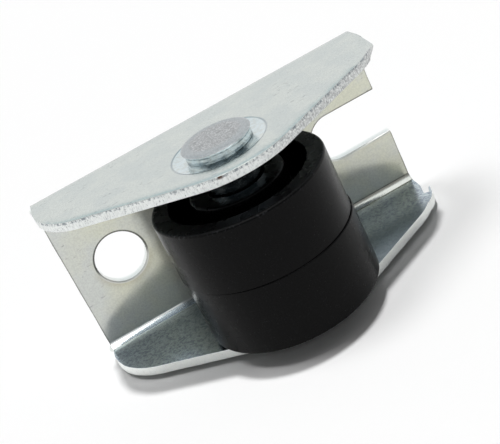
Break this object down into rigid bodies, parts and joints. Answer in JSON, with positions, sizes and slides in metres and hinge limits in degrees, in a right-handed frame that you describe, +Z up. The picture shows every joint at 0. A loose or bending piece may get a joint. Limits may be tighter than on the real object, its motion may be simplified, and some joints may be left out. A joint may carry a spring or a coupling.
{
  "type": "bracket roller",
  "caption": "Small fixed roller: plastic rollers side by side on a riveted axle in a folded sheet bracket whose web has a screw hole and an open slot.",
  "frame": {"origin": "on the outer face of the bracket's web, level with the axle and midway between the cheeks", "axes": "+X along the bracket towards the open end of the slot, +Y out of the web's outer face, +Z up the axle towards the flat rivet head, with the bracket lying on its lower cheek"},
  "size_m": [0.0526, 0.0286, 0.029],
  "materials": {
    "zinc_sheet": "zinc plated, satin",
    "rivet_steel": "matt, pressed",
    "black_plastic": "satin moulded"
  },
  "bodies": {
    "frame": {"bracket": "zinc_sheet", "axle_rivet": "rivet_steel"},
    "upper_roller": {"roller_upper": "black_plastic"},
    "lower_roller": {"roller_lower": "black_plastic"}
  },
  "joints": [
    {"name": "upper_roller_spin", "type": "hinge", "parent": "frame", "child": "upper_roller", "pos_m": [0, -0.0161, 0.0033], "axis": [0, 0, 1], "continuous": true},
    {"name": "lower_roller_spin", "type": "hinge", "parent": "frame", "child": "lower_roller", "pos_m": [0.00025, -0.0161, -0.0065], "axis": [0, 0, 1], "continuous": true}
  ]
}
